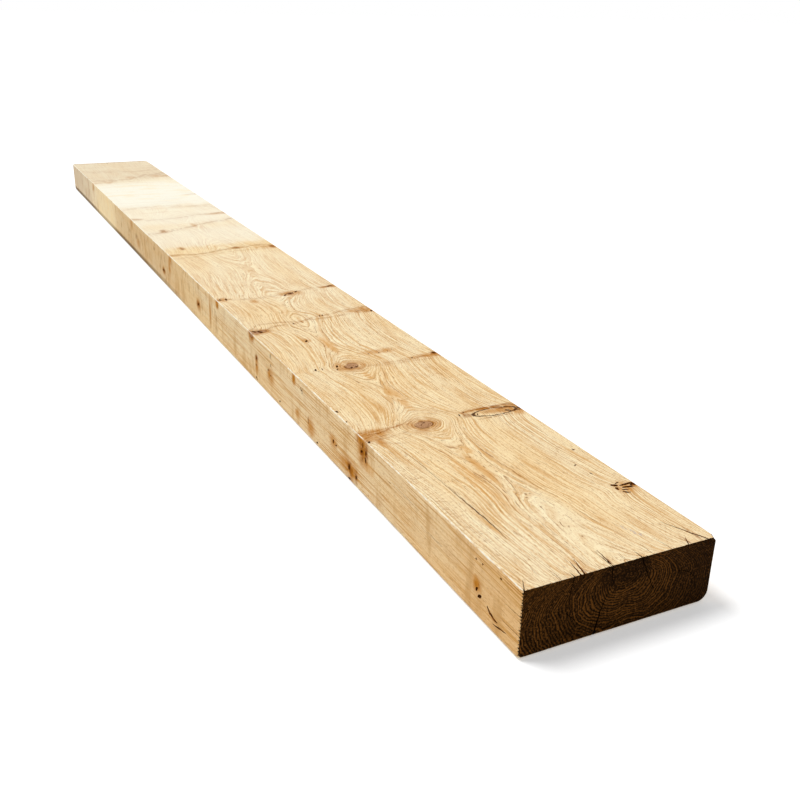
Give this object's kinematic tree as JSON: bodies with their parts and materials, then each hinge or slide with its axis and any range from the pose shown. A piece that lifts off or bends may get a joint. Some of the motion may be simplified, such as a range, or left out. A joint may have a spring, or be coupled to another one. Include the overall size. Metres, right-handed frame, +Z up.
{
  "type": "timber dunnage beam",
  "caption": "Long rectangular sawn timber beam, knotty and checked at its ends, laid flat under a load to keep it off the ground and spread its weight.",
  "frame": {"origin": "middle of the underside, where the beam rests", "axes": "+X along the length towards the near end, +Y across the width towards the back, +Z up through the thickness"},
  "size_m": [2.5, 0.225, 0.075],
  "materials": {
    "sawn_timber": "rough sawn, unplaned and unfinished, honey coloured, with a darker weathered end grain"
  },
  "bodies": {
    "root": {"sawn_beam": "sawn_timber"}
  },
  "joints": []
}
